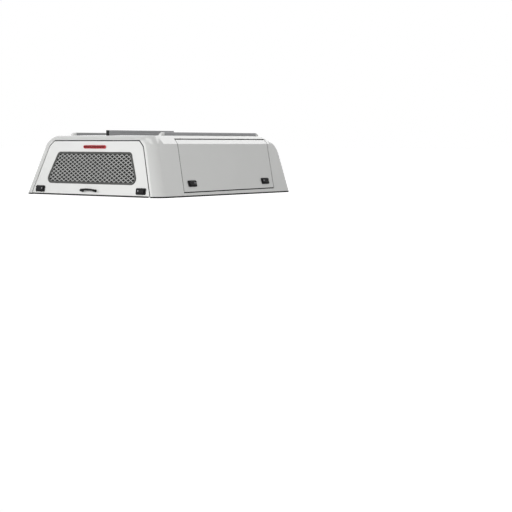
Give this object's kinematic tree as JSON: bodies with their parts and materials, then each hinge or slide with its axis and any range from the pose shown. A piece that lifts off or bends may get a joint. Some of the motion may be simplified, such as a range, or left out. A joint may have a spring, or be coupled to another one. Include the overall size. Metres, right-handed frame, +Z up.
{
  "type": "pickup truck canopy",
  "caption": "Hard pickup truck canopy with a top-hung rear door, a screened rear window, gull-wing side doors and roof rails.",
  "frame": {"origin": "middle of the footprint, on the underside of the base seal", "axes": "+Z up, +Y toward the cab, +X the truck's right"},
  "size_m": [1.611, 1.8646, 0.565],
  "materials": {
    "body_paint": "gloss silver white",
    "black_plastic": "satin black",
    "rubber": "matt black",
    "dark_glass": "tinted",
    "screen_steel": "grey powder coat",
    "red_lens": "clear red lens",
    "rail_aluminium": "satin anodised",
    "hinge_steel": "dull"
  },
  "bodies": {
    "shell": {"base_seal": "rubber", "centre_roof_rail": "rail_aluminium", "front_wall": "body_paint", "left_cant_rail": "body_paint", "left_fixed_hinges": "hinge_steel", "left_front_corner": "body_paint", "left_rear_corner": "body_paint", "left_roof_rail": "rail_aluminium", "left_side_opening_seal": "rubber", "left_side_sill": "body_paint", "rear_fixed_hinges": "hinge_steel", "rear_opening_seal": "rubber", "right_cant_rail": "body_paint", "right_fixed_hinges": "hinge_steel", "right_front_corner": "body_paint", "right_rear_corner": "body_paint", "right_roof_rail": "rail_aluminium", "right_side_opening_seal": "rubber", "right_side_sill": "body_paint", "roof_front_header": "body_paint", "roof_panel": "body_paint", "roof_rear_header": "body_paint"},
    "rear_door": {"brake_lamp_housing": "black_plastic", "brake_lamp_lens": "red_lens", "rear_door_hinges": "hinge_steel", "rear_door_inner_frame": "body_paint", "rear_door_panel": "body_paint", "rear_door_seal": "rubber", "rear_lock_housings": "black_plastic", "rear_pull_handle": "black_plastic", "rear_window_glass": "dark_glass", "rear_window_screen": "screen_steel", "rear_window_seal": "rubber"},
    "left_side_door": {"left_door_hinges": "hinge_steel", "left_side_door_inner_frame": "body_paint", "left_side_door_panel": "body_paint", "left_side_lock_housings": "black_plastic"},
    "right_side_door": {"right_door_hinges": "hinge_steel", "right_side_door_inner_frame": "body_paint", "right_side_door_panel": "body_paint", "right_side_lock_housings": "black_plastic"},
    "left_side_front_lock_lever": {"left_side_front_lock_paddle": "black_plastic"},
    "left_side_rear_lock_lever": {"left_side_rear_lock_paddle": "black_plastic"},
    "rear_left_lock_lever": {"rear_left_lock_paddle": "black_plastic"},
    "rear_right_lock_lever": {"rear_right_lock_paddle": "black_plastic"},
    "right_side_front_lock_lever": {"right_side_front_lock_paddle": "black_plastic"},
    "right_side_rear_lock_lever": {"right_side_rear_lock_paddle": "black_plastic"}
  },
  "joints": [
    {"name": "rear_door_hinge", "type": "hinge", "parent": "shell", "child": "rear_door", "pos_m": [0, -0.80699, 0.47401], "axis": [-1, 0, 0], "range_deg": [0, 80]},
    {"name": "right_side_door_hinge", "type": "hinge", "parent": "shell", "child": "right_side_door", "pos_m": [0.612, 0, 0.488], "axis": [0, -1, 0], "range_deg": [0, 80]},
    {"name": "left_side_door_hinge", "type": "hinge", "parent": "shell", "child": "left_side_door", "pos_m": [-0.612, 0, 0.488], "axis": [0, 1, 0], "range_deg": [0, 80]},
    {"name": "rear_left_lock_lever_pivot", "type": "hinge", "parent": "rear_door", "child": "rear_left_lock_lever", "pos_m": [-0.5993, -0.90395, 0.06699], "axis": [-1, 0, 0], "range_deg": [0, 60]},
    {"name": "rear_right_lock_lever_pivot", "type": "hinge", "parent": "rear_door", "child": "rear_right_lock_lever", "pos_m": [0.5993, -0.90395, 0.06699], "axis": [-1, 0, 0], "range_deg": [0, 60]},
    {"name": "right_side_rear_lock_lever_pivot", "type": "hinge", "parent": "right_side_door", "child": "right_side_rear_lock_lever", "pos_m": [0.77746, -0.44174, 0.12599], "axis": [0, -1, 0], "range_deg": [0, 60]},
    {"name": "right_side_front_lock_lever_pivot", "type": "hinge", "parent": "right_side_door", "child": "right_side_front_lock_lever", "pos_m": [0.77746, 0.58826, 0.12599], "axis": [0, -1, 0], "range_deg": [0, 60]},
    {"name": "left_side_rear_lock_lever_pivot", "type": "hinge", "parent": "left_side_door", "child": "left_side_rear_lock_lever", "pos_m": [-0.77746, -0.44174, 0.12599], "axis": [0, 1, 0], "range_deg": [0, 60]},
    {"name": "left_side_front_lock_lever_pivot", "type": "hinge", "parent": "left_side_door", "child": "left_side_front_lock_lever", "pos_m": [-0.77746, 0.58826, 0.12599], "axis": [0, 1, 0], "range_deg": [0, 60]}
  ]
}
